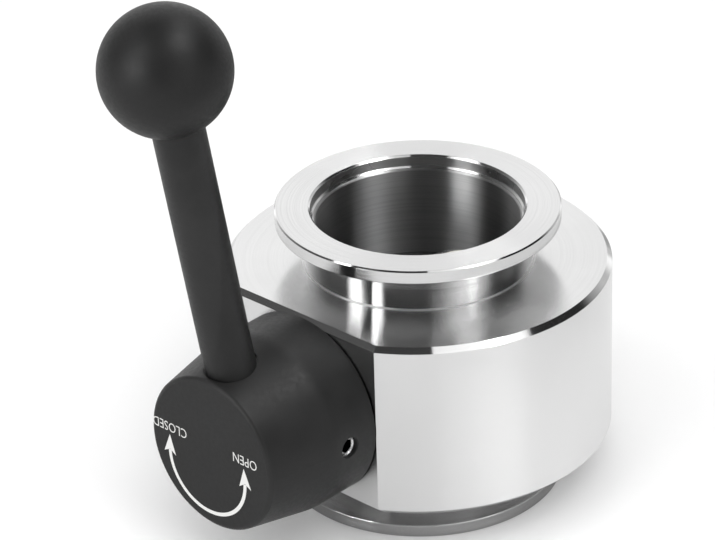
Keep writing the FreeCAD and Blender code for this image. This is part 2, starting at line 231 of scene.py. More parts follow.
def sides_and_flats(tree, marks, base, roughness, spread, depth, flat_rough, flat_depth, painted_side_gain):
    """Colour, roughness and mark depth on a piece's sides, edges and faces square to the port axis."""
    normal = add_node(tree, "ShaderNodeNewGeometry").outputs["Normal"]
    height = add_node(tree, "ShaderNodeSeparateXYZ", [normal]).outputs["Z"]
    upright = add_node(tree, "ShaderNodeMath", [height], operation="ABSOLUTE")
    on_edge = add_node(tree, "ShaderNodeMapRange", [upright, 0.35, 0.6], **SMOOTH)
    on_flat = add_node(tree, "ShaderNodeMapRange", [upright, 0.8, 0.95], **SMOOTH)
    # Painted sheen: the sides' colour is painted brighter than the edges and faces, by the side gain
    sides = {0: on_edge, 6: toned(base, painted_side_gain), 7: base}
    tone = add_node(tree, "ShaderNodeMix", sides, data_type="RGBA").outputs[2]
    # Edges are polished to a near mirror
    roughness = add_node(tree, "ShaderNodeMix", {0: on_edge, 2: roughness, 3: 0.1})
    limits = [marks, 0.3, 0.7, flat_rough - spread / 2, flat_rough + spread / 2]
    flat = add_node(tree, "ShaderNodeMapRange", limits, **SMOOTH)
    roughness = add_node(tree, "ShaderNodeMix", {0: on_flat, 2: roughness, 3: flat})
    mark_depth = add_node(tree, "ShaderNodeMapRange", [on_flat, 0.0, 1.0, depth, flat_depth])
    return tone, roughness, mark_depth


def bore_and_joint(tree, radius, along, base, roughness, depth, bore_rough):
    """Colour, roughness and mark depth on a port's bore, its recess wall and the joint round its foot, with
    painted shade on both walls and a painted highlight on the joint.

    The bore's coarser feed spreads the light along the axis into upright stripes.
    """
    port = bpy.context.scene.valve_port
    edge = port.bore / 2 + port.bore_edge
    limits = [radius, edge - 0.1 * MM, edge + 0.1 * MM, 1.0, 0.0]
    in_bore = add_node(tree, "ShaderNodeMapRange", limits, **SMOOTH)
    from_wall = add_node(tree, "ShaderNodeMath", [radius, port.recess / 2], operation="SUBTRACT")
    from_wall = add_node(tree, "ShaderNodeMath", [from_wall], operation="ABSOLUTE")
    on_wall = add_node(tree, "ShaderNodeMapRange", [from_wall, 0.03 * MM, 0.07 * MM, 1.0, 0.0], **SMOOTH)
    roughness = add_node(tree, "ShaderNodeMix", {0: on_wall, 2: roughness, 3: 0.27})
    roughness = add_node(tree, "ShaderNodeMix", {0: in_bore, 2: roughness, 3: bore_rough})
    mark_depth = add_node(tree, "ShaderNodeMapRange", [in_bore, 0.0, 1.0, depth, 0.004 * MM])
    # Painted shade: both walls see little but each other, so their colour is painted darker than the outside
    within = add_node(tree, "ShaderNodeMath", [in_bore, on_wall], operation="MAXIMUM")
    painted_wall_shade = {0: within, 6: base, 7: toned(base, 0.62)}
    tone = add_node(tree, "ShaderNodeMix", painted_wall_shade, data_type="RGBA").outputs[2]
    # The joint's bead at the foot of each neck is unpolished, and its colour is painted white: a painted
    # highlight round the neck's foot
    level = add_node(tree, "ShaderNodeMath", [along, STEM_HEIGHT], operation="SUBTRACT")
    level = add_node(tree, "ShaderNodeMath", [level], operation="ABSOLUTE")
    top = STEM_HEIGHT - port.neck_length + port.collar
    low_down = add_node(tree, "ShaderNodeMapRange", [level, top, top + 0.03 * MM, 1.0, 0.0], **SMOOTH)
    neck = port.neck / 2
    outside = add_node(tree, "ShaderNodeMapRange", [radius, neck - 1.25 * MM, neck - 0.25 * MM], **SMOOTH)
    joint = add_node(tree, "ShaderNodeMath", [low_down, outside], operation="MULTIPLY")
    roughness = add_node(tree, "ShaderNodeMix", {0: joint, 2: roughness, 3: 0.6})
    tone = add_node(tree, "ShaderNodeMix", {0: joint, 6: tone, 7: WHITE}, data_type="RGBA").outputs[2]
    return tone, roughness, mark_depth


def steel_finish(name, base, rough, spread, pitch, depth, flats=None, bore_rough=None, contrast=0.05):
    """Turned stainless steel.

    Rings from the tool or the polishing cloth spread a reflection across their run and keep it sharp along it,
    and handling leaves faint clouds. The marks lie a pitch apart, are as deep as depth, change the roughness
    by spread and darken the colour by contrast. flats holds the roughness and the marks' depth on faces square
    to the axis and how much brighter the sides' colour is painted, a painted sheen. bore_rough is the
    roughness of a port's bore.
    """
    made, tree = new_material(name)
    place = add_node(tree, "ShaderNodeTexCoord").outputs["Object"]
    marks, radius, along = turned_marks(tree, place, pitch)
    limits = [marks, 0.3, 0.7, rough - spread, rough + spread]
    roughness = add_node(tree, "ShaderNodeMapRange", limits, **SMOOTH)
    mark_depth = depth
    if flats is not None:
        base, roughness, mark_depth = sides_and_flats(tree, marks, base, roughness, spread, depth, *flats)
    if bore_rough is not None:
        base, roughness, mark_depth = bore_and_joint(tree, radius, along, base, roughness, depth, bore_rough)
    clouds = add_node(tree, "ShaderNodeTexNoise", {"Vector": place, "Scale": 55.0, "Detail": 3.0})
    handled = add_node(tree, "ShaderNodeMapRange", [clouds, 0.35, 0.7, -0.01, 0.02], **SMOOTH)
    roughness = add_node(tree, "ShaderNodeMath", [roughness, handled], operation="ADD")
    lines = add_node(tree, "ShaderNodeMapRange", [marks, 0.35, 0.6, 1 - contrast, 1.0], **SMOOTH)
    smudges = add_node(tree, "ShaderNodeMapRange", [clouds, 0.35, 0.62, 0.955, 1.0], **SMOOTH)
    kept = add_node(tree, "ShaderNodeMath", [lines, smudges], operation="MULTIPLY")
    tone = add_node(tree, "ShaderNodeMix", {0: kept, 6: BLACK, 7: base}, data_type="RGBA").outputs[2]
    bump = add_node(tree, "ShaderNodeBump", {"Height": marks, "Distance": mark_depth, "Strength": 1.0})
    # The tangent lies in the surface, square to the ring that each mark runs along
    ring = add_node(tree, "ShaderNodeVectorMath", [(0, 0, 1), place], operation="CROSS_PRODUCT")
    normal = add_node(tree, "ShaderNodeNewGeometry").outputs["Normal"]
    across = add_node(tree, "ShaderNodeVectorMath", [normal, ring], operation="CROSS_PRODUCT")
    finish_material(tree, {"Base Color": tone, "Metallic": 1.0, "Roughness": roughness, "Anisotropic": 1.0,
                           "Normal": bump, "Tangent": across})
    return made


def hub_edge_rub(tree, place, clouds):
    """Rubbed band along the edge of the hub's face, broken up by the clouds."""
    face_radius = 15.1 * MM
    moved = add_node(tree, "ShaderNodeVectorMath", [place, (0, 0, STEM_HEIGHT)], operation="SUBTRACT")
    radius = distance_from_axis(tree, moved, (1, 0, 1))
    reach = add_node(tree, "ShaderNodeSeparateXYZ", [place]).outputs["Y"]
    limits = [reach, FACE_REACH + 0.2 * MM, FACE_REACH + 1.0 * MM, 1.0, 0.0]
    near_face = add_node(tree, "ShaderNodeMapRange", limits, **SMOOTH)
    near_edge = add_node(tree, "ShaderNodeMapRange", [radius, face_radius - 0.8 * MM, face_radius], **SMOOTH)
    patches = add_node(tree, "ShaderNodeMapRange", [clouds, 0.3, 0.7, 0.25, 0.8], **SMOOTH)
    band = add_node(tree, "ShaderNodeMath", [near_face, near_edge], operation="MULTIPLY")
    return add_node(tree, "ShaderNodeMath", [band, patches], operation="MULTIPLY")


def blasted_finish(name, base, rough, grain, depth, specular, rub=None):
    """Fine-grained black finish, bead-blasted under the anodising or moulded with a spark-eroded texture.

    Grain breaks the highlight into a soft sheen. Slow clouds keep the black from being even, as on handled
    parts.
    """
    made, tree = new_material(name)
    place = add_node(tree, "ShaderNodeTexCoord").outputs["Object"]
    clouds = add_node(tree, "ShaderNodeTexNoise", {"Vector": place, "Scale": 90.0, "Detail": 4.0})
    greyed = add_node(tree, "ShaderNodeMapRange", [clouds, 0.35, 0.7, 0.0, 0.5], **SMOOTH)
    worn = {0: greyed, 6: base, 7: toned(base, 1.35, 0.004)}
    tone = add_node(tree, "ShaderNodeMix", worn, data_type="RGBA").outputs[2]
    if rub is not None:
        rubbed = {0: rub(tree, place, clouds), 6: tone, 7: toned(base, 1.4, 0.006)}
        tone = add_node(tree, "ShaderNodeMix", rubbed, data_type="RGBA").outputs[2]
    mottle = add_node(tree, "ShaderNodeTexNoise", {"Vector": place, "Scale": 1400.0, "Detail": 3.0})
    handled = add_node(tree, "ShaderNodeMapRange", [clouds, 0.3, 0.75, rough - 0.04, rough + 0.05], **SMOOTH)
    speckled = add_node(tree, "ShaderNodeMapRange", [mottle, 0.35, 0.65, -0.035, 0.035], **SMOOTH)
    roughness = add_node(tree, "ShaderNodeMath", [handled, speckled], operation="ADD")
    fine = add_node(tree, "ShaderNodeTexNoise", {"Vector": place, "Scale": 1 / grain, "Detail": 2.0})
    bump = add_node(tree, "ShaderNodeBump", {"Height": fine, "Distance": depth, "Strength": 1.0})
    finish_material(tree, {"Base Color": tone, "Roughness": roughness, "Normal": bump, "IOR": 1.5,
                           "Specular IOR Level": specular})
    return made


def screw_finish(name, black):
    """Blackened steel, bare where the key rubs the end that faces +X."""
    made, tree = new_material(name)
    place = add_node(tree, "ShaderNodeTexCoord").outputs["Object"]
    reach = add_node(tree, "ShaderNodeSeparateXYZ", [place]).outputs["X"]
    funnel = SCREW_END - 0.27 * MM
    rubbed = add_node(tree, "ShaderNodeMapRange", [reach, funnel, funnel + 0.03 * MM], **SMOOTH)
    bare = list(bpy.context.scene.valve_colours.steel)
    tone = add_node(tree, "ShaderNodeMix", {0: rubbed, 6: black, 7: bare}, data_type="RGBA").outputs[2]
    wear = add_node(tree, "ShaderNodeTexNoise", {"Vector": place, "Scale": 2500.0, "Detail": 3.0})
    roughness = add_node(tree, "ShaderNodeMapRange", [wear, 0.3, 0.7, 0.22, 0.34], **SMOOTH)
    finish_material(tree, {"Base Color": tone, "Metallic": 1.0, "Roughness": roughness})
    return made


def plain_finish(name, base, rough, grain, depth, metallic=0.0):
    """Finish with a fine grain of its own, for the paint and the inner pieces."""
    made, tree = new_material(name)
    place = add_node(tree, "ShaderNodeTexCoord").outputs["Object"]
    fine = add_node(tree, "ShaderNodeTexNoise", {"Vector": place, "Scale": 1 / grain, "Detail": 3.0})
    roughness = add_node(tree, "ShaderNodeMapRange", [fine, 0.3, 0.7, rough - 0.06, rough + 0.06], **SMOOTH)
    bump = add_node(tree, "ShaderNodeBump", {"Height": fine, "Distance": depth, "Strength": 1.0})
    finish_material(tree, {"Base Color": base, "Metallic": metallic, "Roughness": roughness, "Normal": bump})
    return made


# Each finish: the function that makes it, the colour it starts from, and its settings
FINISHES = {
    # Sealing face, rim and flange's back, turned and left satin: fine rings, drawn 0.2 mm apart to show
    "Satin turned stainless steel": (steel_finish, "steel", {
        "rough": 0.15, "spread": 0.05, "pitch": 0.2 * MM, "depth": 0.0004 * MM, "contrast": 0.08,
        "flats": (0.19, 0.0006 * MM, 1.0)}),
    # Neck and bore, polished with a cloth: a near mirror with faint rings
    "Polished stainless steel": (steel_finish, "steel", {
        "rough": 0.115, "spread": 0.015, "pitch": 0.35 * MM, "depth": 0.0003 * MM, "contrast": 0.1,
        "bore_rough": 0.37}),
    # Body, ground on its side to a soft sheen, with polished ends that mirror the neck. Its sides are painted
    # 1.12 times brighter in colour: a painted sheen
    "Body stainless steel": (steel_finish, "steel", {
        "rough": 0.24, "spread": 0.008, "pitch": 0.3 * MM, "depth": 0.00008 * MM, "contrast": 0.03,
        "flats": (0.175, 0.0003 * MM, 1.12)}),
    # Inner pieces, as they leave the lathe: even grey with visible rings, the grey painted darker than the
    # outer steel as painted shade of the bore they sit in
    "Machined inner steel": (steel_finish, "inner_steel", {
        "rough": 0.28, "spread": 0.08, "pitch": 0.15 * MM, "depth": 0.001 * MM}),
    # Bead-blasted before anodising, so a soft grey sheen: grain about 0.1 mm, drawn at 0.15 mm
    "Black anodised aluminium": (blasted_finish, "anodised", {
        "rough": 0.46, "grain": 0.15 * MM, "depth": 0.006 * MM, "specular": 0.25, "rub": hub_edge_rub}),
    # Glass-filled nylon, moulded in an eroded tool: matt with a wide soft highlight
    "Black moulded plastic": (blasted_finish, "plastic", {
        "rough": 0.50, "grain": 0.2 * MM, "depth": 0.016 * MM, "specular": 0.3}),
    # Grub screw: black oxide in the socket, its funnel rubbed bright by the key
    "Blackened steel": (screw_finish, "anodised", {}),
    # Pad-printed ink: flat white with a slight tooth
    "White marking paint": (plain_finish, "paint", {"rough": 0.5, "grain": 0.12 * MM, "depth": 0.004 * MM}),
    # Moulded fluorocarbon rubber: soft dull black
    "Seal rubber": (plain_finish, "rubber", {"rough": 0.55, "grain": 0.3 * MM, "depth": 0.006 * MM}),
    # Filled bearing plastic: waxy white
    "Bearing plastic": (plain_finish, "white_plastic", {
        "rough": 0.42, "grain": 0.4 * MM, "depth": 0.006 * MM}),
    # Turned brass: warm yellow with a fine grain
    "Turned brass": (plain_finish, "brass", {
        "rough": 0.3, "grain": 0.2 * MM, "depth": 0.004 * MM, "metallic": 1.0}),
}


def material(name):
    """A finish by its name, made once from the scene's colours."""
    if name in bpy.data.materials:
        return bpy.data.materials[name]
    make, colour_name, settings = FINISHES[name]
    return make(name, list(getattr(bpy.context.scene.valve_colours, colour_name)), **settings)


def give(piece, body, slot_name, *nodes):
    """Say which body a finished piece rides on, and hide the CAD nodes that it stands for. slot_name is not
    used.
    """
    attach(piece, body)
    if nodes:
        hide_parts(*nodes)


def rounded(corners, steps=5):
    """Closed (radius, height) outline from corners (radius, height, size of the round).

    Each round has a support point beside each end, so that smooth shading doesn't bend the flats.
    """
    outline = []
    count = len(corners)
    for i, (radius, height, size_of_round) in enumerate(corners):
        here = Vector((radius, height))
        if not size_of_round:
            outline.append(here)
            continue
        before = Vector(corners[i - 1][:2]) - here
        after = Vector(corners[(i + 1) % count][:2]) - here
        into, out = before.normalized(), after.normalized()
        half = into.angle(out) / 2
        reach = size_of_round / math.tan(half)
        centre = here + (into + out).normalized() * size_of_round / math.sin(half)
        start, end = here + into * reach - centre, here + out * reach - centre
        sweep = start.angle_signed(end)
        outline.append(here + into * (reach + min(size_of_round / 4, before.length / 10)))
        for step in range(steps + 1):
            turn = Matrix.Rotation(-sweep * step / steps, 2)
            outline.append(centre + turn @ start)
        outline.append(here + out * (reach + min(size_of_round / 4, after.length / 10)))
    return [tuple(point) for point in outline]


def turned_tree():
    """Geometry Nodes: an outline of points (radius, 0, height) turned about Z, with its two finishes."""
    name = "Turned piece"
    if name in bpy.data.node_groups:
        return bpy.data.node_groups[name]
    tree = bpy.data.node_groups.new(name, "GeometryNodeTree")
    sockets = [
        ("Outline", "NodeSocketGeometry"),
        ("Segments", "NodeSocketInt"),
        ("Finish", "NodeSocketMaterial"),
        ("Inner Finish", "NodeSocketMaterial"),
        ("Inner Radius", "NodeSocketFloat"),
    ]
    for label, kind in sockets:
        tree.interface.new_socket(label, in_out="INPUT", socket_type=kind)
    tree.interface.new_socket("Mesh", in_out="OUTPUT", socket_type="NodeSocketGeometry")
    given = add_node(tree, "NodeGroupInput").outputs
    outline, segments = given["Outline"], given["Segments"]
    count = add_node(tree, "GeometryNodeAttributeDomainSize", {"Geometry": outline}, component="MESH")
    count = count.outputs["Point Count"]
    # The grid has a column for each step of the turn and a row for each point of the outline
    columns = add_node(tree, "ShaderNodeMath", [segments, 1], operation="ADD")
    grid = add_node(tree, "GeometryNodeMeshGrid", {"Vertices X": columns, "Vertices Y": count})
    index = add_node(tree, "GeometryNodeInputIndex")
    row = add_node(tree, "ShaderNodeMath", [index, count], operation="FLOORED_MODULO")
    # A quarter is added before dividing, so that rounding never moves a point to the column before
    column = add_node(tree, "ShaderNodeMath", [index, 0.25], operation="ADD")
    column = add_node(tree, "ShaderNodeMath", [column, count], operation="DIVIDE")
    column = add_node(tree, "ShaderNodeMath", [column], operation="FLOOR")
    place = add_node(tree, "GeometryNodeInputPosition").outputs[0]
    point = add_node(tree, "GeometryNodeSampleIndex", {"Geometry": outline, "Value": place, "Index": row},
                     data_type="FLOAT_VECTOR", domain="POINT")
    turn = add_node(tree, "ShaderNodeMath", [column, segments], operation="DIVIDE")
    turn = add_node(tree, "ShaderNodeMath", [turn, math.tau], operation="MULTIPLY")
    moved = add_node(tree, "ShaderNodeVectorRotate", {"Vector": point, "Angle": turn}, rotation_type="Z_AXIS")
    shaped = add_node(tree, "GeometryNodeSetPosition", {"Geometry": grid, "Position": moved})
    closed = add_node(tree, "GeometryNodeMergeByDistance", {"Geometry": shaped, "Distance": SAME_POINT})
    real = add_node(tree, "GeometryNodeRealizeInstances", {"Geometry": closed})
    dressed = add_node(tree, "GeometryNodeSetMaterial", {"Geometry": real, "Material": given["Finish"]})
    radius = distance_from_axis(tree, place, (1, 1, 0))
    inside = add_node(tree, "FunctionNodeCompare", [radius, given["Inner Radius"]],
                      data_type="FLOAT", operation="LESS_THAN")
    inner = {"Geometry": dressed, "Selection": inside, "Material": given["Inner Finish"]}
    dressed = add_node(tree, "GeometryNodeSetMaterial", inner)
    add_node(tree, "NodeGroupOutput", [dressed])
    return tree


def turned_piece(name, corners, finish, inner_finish, inner_radius, segments, place):
    """One turned piece from its corners, as a plain mesh in its place, with its two finishes."""
    outline = rounded(corners)
    outline.append(outline[0])
    data = bpy.data.meshes.new(name + "_outline")
    data.from_pydata([(radius, 0, height) for radius, height in outline], [], [])
    source = bpy.data.objects.new(name + "_outline", data)
    bpy.context.scene.collection.objects.link(source)
    modifier = source.modifiers.new("Turned", "NODES")
    modifier.node_group = turned_tree()
    values = {"Segments": segments, "Finish": material(finish), "Inner Finish": material(inner_finish),
              "Inner Radius": inner_radius}
    for item in modifier.node_group.interface.items_tree:
        if item.in_out == "INPUT" and item.name in values:
            modifier[item.identifier] = values[item.name]
    evaluated = source.evaluated_get(bpy.context.evaluated_depsgraph_get())
    mesh = bpy.data.meshes.new_from_object(evaluated)
    bpy.data.objects.remove(source)
    mesh.transform(place)
    return mesh_object(name, mesh)


def mesh_object(name, mesh, smooth_limit=32):
    """Object from a mesh: doubles merged, faces outward, smooth but where it turns by more than the limit."""
    shape = bmesh.new()
    shape.from_mesh(mesh)
    bmesh.ops.remove_doubles(shape, verts=shape.verts, dist=SAME_POINT)
    bmesh.ops.dissolve_degenerate(shape, edges=shape.edges, dist=SAME_POINT / 2)
    bmesh.ops.recalc_face_normals(shape, faces=shape.faces)
    for face in shape.faces:
        face.smooth = True
    shape.to_mesh(mesh)
    shape.free()
    mesh.set_sharp_from_angle(angle=math.radians(smooth_limit))
    mesh.name = name
    piece = bpy.data.objects.new(name, mesh)
    bpy.context.scene.collection.objects.link(piece)
    return piece


class VALVE_OT_ports(bpy.types.Operator):
    """Turn both ports with softened edges and put them in place of their CAD nodes"""
    bl_idname = "valve.ports"
    bl_label = "Ports"

    def execute(self, context):
        s = context.scene.valve_port
        flange, neck, recess, bore = s.flange / 2, s.neck / 2, s.recess / 2, s.bore / 2
        taper_end = s.rim + (flange - neck) * math.tan(s.taper)
        soft = 0.08 * MM
        # The lower port from its sealing face up, then back down inside
        corners = [
            (recess + s.recess_edge, 0, soft),
            (flange - s.rim_edge, 0, 0.05 * MM),
            (flange, s.rim_edge, 0.05 * MM),
            (flange, s.rim, 0.2 * MM),
            (neck, taper_end, s.fillet),
            (neck, s.neck_length - s.collar, soft),
            (neck + s.collar, s.neck_length, 0),
            (neck, s.neck_length, 0),
            (neck, s.tube_length, 0),
            (bore, s.tube_length, 0),
            (bore, s.recess_depth + s.bore_edge, soft),
            (bore + s.bore_edge, s.recess_depth, soft),
            (recess - s.recess_corner, s.recess_depth, soft / 2),
            (recess, s.recess_depth - s.recess_corner, soft / 2),
            (recess, s.recess_edge, soft),
        ]
        # The neck, its bead and everything inside are polished
        polished = neck + s.collar + 0.4 * MM
        upright = Matrix.Identity(4)
        turned_over = Matrix.Translation((0, 0, 2 * STEM_HEIGHT)) @ Matrix.Rotation(math.pi, 4, "X")
        places = (
            ("port_below", "lower_port", upright),
            ("port_above", "upper_port", turned_over),
        )
        for name, node, place in places:
            piece = turned_piece(name, corners, "Satin turned stainless steel", "Polished stainless steel",
                                 polished, 256, place)
            give(piece, "body", "turned_steel", node)
        return {"FINISHED"}


class VALVE_OT_lever(bpy.types.Operator):
    """Turn the lever's rod and its ball and set them on the lever's line"""
    bl_idname = "valve.lever"
    bl_label = "Lever"

    def execute(self, context):
        s = context.scene.valve_lever
        # Both pieces are turned about Z with the rod's foot at the origin, then leant over and moved
        foot = Matrix.Translation((0, -s.foot_reach, STEM_HEIGHT + s.foot_height))
        place = foot @ Matrix.Rotation(s.tilt, 4, "X")
        segments = 128
        rod, hole = s.rod / 2, s.thread / 2
        corners = [
            (hole, s.rod_start, 0),
            (rod, s.rod_start, s.rod_edge),
            (rod, s.rod_reach, s.rod_edge),
            (hole, s.rod_reach, 0),
            (hole, s.rod_reach - s.thread_depth, 0),
            (0, s.rod_reach - s.thread_depth, 0),
            (0, s.rod_start + s.thread_depth, 0),
            (hole, s.rod_start + s.thread_depth, 0),
        ]
        finish = "Black anodised aluminium"
        piece = turned_piece("lever_bar", corners, finish, finish, 0, segments, place)
        give(piece, "handle", "black_anodised", "lever_rod")
        ball, seat, pocket = s.ball / 2, s.seat / 2, s.pocket / 2
        centre = s.rod_reach + math.sqrt(ball ** 2 - seat ** 2)
        # The seat's rim is broken, so the ball's surface starts a little past it
        corners = [(pocket, s.rod_reach, 0), (seat - 0.15 * MM, s.rod_reach, 0)]
        first = math.asin(seat / ball) + 0.015
        steps = 64
        for step in range(steps + 1):
            turn = first + (math.pi - first) * step / steps
            radius = 0 if step == steps else ball * math.sin(turn)
            corners.append((radius, centre - ball * math.cos(turn), 0))
        top = s.rod_reach + s.pocket_depth
        corners += [(0, top, 0), (pocket, top, 0)]
        finish = "Black moulded plastic"
        piece = turned_piece("ball_grip", corners, finish, finish, 0, segments, place)
        give(piece, "handle", "black_plastic", "ball_knob")
        return {"FINISHED"}


def flat_plate(shape, points, back, front):
    """Add a thin plate with an outline of (x, z) to a bmesh, between two places along Y."""
    rings = [[shape.verts.new((x, reach, z)) for x, z in points] for reach in (back, front)]
    shape.faces.new(rings[0])
    shape.faces.new(list(reversed(rings[1])))
    count = len(points)
    for i in range(count):
        j = (i + 1) % count
        shape.faces.new((rings[0][i], rings[0][j], rings[1][j], rings[1][i]))


# Words on the hub's face: their middles right of and above the stem's axis, and their widths, in mm
WORDS = (
    ("CLOSED", -10.6, 1.85, 8.8),
    ("OPEN", 8.9, 1.95, 6.0),
)


class VALVE_OT_marks(bpy.types.Operator):
    """Paint the turning arrow and the words OPEN and CLOSED on the hub's face"""
    bl_idname = "valve.marks"
    bl_label = "Face marks"

    def execute(self, context):
        s = context.scene.valve_marks
        # The paint reaches a little into the face, so that no gap shows under it
        back, front = FACE_REACH + 0.02 * MM, FACE_REACH - s.relief
        self.add_arrow(s, back, front)
        for word, middle_x, middle_z, width in WORDS:
            self.add_word(context, word, Vector((middle_x, middle_z)) * MM, width * MM, s, back, front)
        return {"FINISHED"}

    def add_arrow(self, s, back, front):
        """Arc with an arrow head at each end, which open away from each other round the stem's axis."""
        shape = bmesh.new()
        centre = Vector((s.centre_x, STEM_HEIGHT + s.centre_z))
        left_tip = Vector((s.left_tip_x, STEM_HEIGHT + s.tip_z))
        right_tip = Vector((s.right_tip_x, STEM_HEIGHT + s.tip_z))
        # The arc runs below its centre, from inside the left head to inside the right one
        lead = s.head_length * 0.8 / s.radius
        left = math.atan2(left_tip.y - centre.y, left_tip.x - centre.x) + lead
        right = math.atan2(right_tip.y - centre.y, right_tip.x - centre.x) + math.tau - lead
        steps = 72
        outer, inner = [], []
        for step in range(steps + 1):
            turn = left + (right - left) * step / steps
            direction = Vector((math.cos(turn), math.sin(turn)))
            outer.append(centre + direction * (s.radius + s.stroke / 2))
            inner.append(centre + direction * (s.radius - s.stroke / 2))
        flat_plate(shape, outer + inner[::-1], back, front)
        for turn, tip in ((left, left_tip), (right, right_tip)):
            base = centre + Vector((math.cos(turn), math.sin(turn))) * s.radius
            ahead = (tip - base).normalized()
            aside = Vector((ahead.y, -ahead.x))
            wing = tip - ahead * s.head_length
            # The head is notched behind, to 0.78 of its length
            notch = tip - ahead * s.head_length * 0.78
            points = [tip, wing + aside * s.head_width / 2, notch, wing - aside * s.head_width / 2]
            flat_plate(shape, points, back, front)
        mesh = bpy.data.meshes.new("turn_arrow")
        shape.to_mesh(mesh)
        shape.free()
        piece = mesh_object("turn_arrow", mesh)
        piece.data.materials.append(material("White marking paint"))
        give(piece, "handle", "white_plastic")

    def add_word(self, context, word, middle, width, s, back, front):
        """One word, standing on its head while the lever is up, as photographed."""
        curve = bpy.data.curves.new("word_" + word.lower(), "FONT")
        curve.body = word
        curve.align_x, curve.align_y = "CENTER", "CENTER"
        curve.size = 1.0
        curve.extrude = 0.5
        # Thinner strokes than the typeface's own, as photographed
        curve.offset = -0.008
        curve.resolution_u = 3
        source = bpy.data.objects.new("word_source", curve)
        context.scene.collection.objects.link(source)
        mesh = bpy.data.meshes.new_from_object(source.evaluated_get(context.evaluated_depsgraph_get()))
        bpy.data.objects.remove(source)
        xs = [v.co.x for v in mesh.vertices]
        ys = [v.co.y for v in mesh.vertices]
        centre = Matrix.Translation((-(min(xs) + max(xs)) / 2, -(min(ys) + max(ys)) / 2, 0))
        wider, taller = width / (max(xs) - min(xs)), s.letter_height / (max(ys) - min(ys))
        scale = Matrix.Diagonal((wider, taller, back - front, 1))
        upright = Matrix.Rotation(math.pi / 2, 4, "X")
        upside_down = Matrix.Rotation(math.pi, 4, "Y")
        place = Matrix.Translation((middle.x, (back + front) / 2, STEM_HEIGHT + middle.y))
        mesh.transform(place @ upside_down @ upright @ scale @ centre)
        mesh.materials.clear()
        piece = mesh_object("word_" + word.lower(), mesh, smooth_limit=20)
        piece.data.materials.append(material("White marking paint"))
        give(piece, "handle", "white_plastic")


# Every CAD node that stays, by its finish
NODE_FINISHES = {
    "Body stainless steel": ("valve_body",),
    "Machined inner steel": ("seat_ring", "disc", "disc_screws", "stem", "retaining_ring", "stop_pin",
                             "detent_ball", "detent_spring", "rod_stud", "knob_stud"),
    "Blackened steel": ("hub_set_screw",),
    "Black anodised aluminium": ("hub",),
    "Seal rubber": ("inner_stem_seal", "outer_stem_seal"),
    "Bearing plastic": ("disc_seal", "rear_bushing", "thrust_pad", "thrust_washer"),
    "Turned brass": ("seal_spacer", "gland_bush", "knob_insert"),
}


class VALVE_OT_finishes(bpy.types.Operator):
    """Give every CAD node that stays its finish"""
    bl_idname = "valve.finishes"
    bl_label = "Finishes"

    def execute(self, context):
        for finish, names in NODE_FINISHES.items():
            for name in names:
                slots = frame["nodes"][name].material_slots
                if not slots:
                    raise RuntimeError("no material slot on " + name)
                for each in slots:
                    each.material = material(finish)
        return {"FINISHED"}



CAMERA_SIDE = 43.508

# The studio's soft boxes, seen only in the metal's gloss. Angles in degrees: azimuths from the camera's side
# towards +X, elevations, then the soft edges left, right, and above and below, and the level
SOFT_BOXES = (
    ("Left box, outer pane", -74, -57.5, 14, 40, 2, 2, 4, 3.1),
    ("Left box, inner pane", -47, -39, 18, 40, 1.5, 1.5, 4, 3.0),
    ("Left box, lower lamp", -59.5, -42.5, 11, 20, 1.5, 1.5, 4, 11.5),
    ("Left box, lamp above", -82, -45, 42, 54, 2, 2, 3, 4.2),
    ("Left fill", -112, -80, -20, 50, 12, 6, 12, 0.05),
    ("Right box, foot", 11, 57, 4, 16, 2, 3, 4, 0.9),
    ("Right box, far wall", 115, 128, 10, 22, 10, 10, 5, 0.3),
    ("Right box, lower part", 42, 44, 24, 34, 32, 40, 5, 1.75),
    ("Right box, upper part", 9, 60, 50, 62, 1.5, 3, 2, 1.5),
    ("Right box, end", 62, 77, 44, 56, 3, 1.5, 2, 1.5),
    ("Right box, lamp above", 53, 60, 36, 52, 2, 2, 3, 2.5),
    ("Top box", 58, 92, 57, 69, 10, 10, 5, 11.0),
    ("Back light on the hub", 125, 150, 52, 64, 10, 10, 6, 4.0),
    ("White sweep at table height", -200, 200, -95, 2, 10, 10, 8, 0.7),
    ("Ceiling", -200, 200, 86, 95, 10, 10, 8, 0.4),
)

# Walls behind the valve, which fade out below the ceiling: two azimuths, and the level at each
BACK_WALLS = (
    (-165, -105, 1.17, 0.0),
    (112, 146, 0.0, 0.74),
    (150, 178, 0.0, 0.46),
)
# Faint light all round: the same four numbers
ROOM_LIGHT = (66, 82, 0.056, 0.02)
# Level of the plain light that falls on everything
PLAIN_LIGHT = 0.72

# Painted shade on the paper, seen only in the metal's gloss: how much darker the metal mirrors the paper than
# it is, from the painted shadow under the foot outwards. Each ring has the distances in mm over which it takes
# over from the one before, then two places across the picture in mm, left to right, and the shade at each
FOOT_SHADE = 0.52
FLOOR_RINGS = (
    (30, 46, -20, 55, 0.23, 0.0),
    (105, 125, 40, 110, 0.1, 0.2),
    (165, 205, -60, 90, 0.1, 0.6),
    (350, 600, 40, 110, 0.1, 0.2),
)

# Square lamps: name, place in metres, width in metres, power in watts
LAMPS = (
    ("key_lamp", (0.75, -0.45, 0.95), 0.8, 9.0),
    ("fill_lamp", (-0.1, -0.8, 0.9), 0.8, 4.0),
)


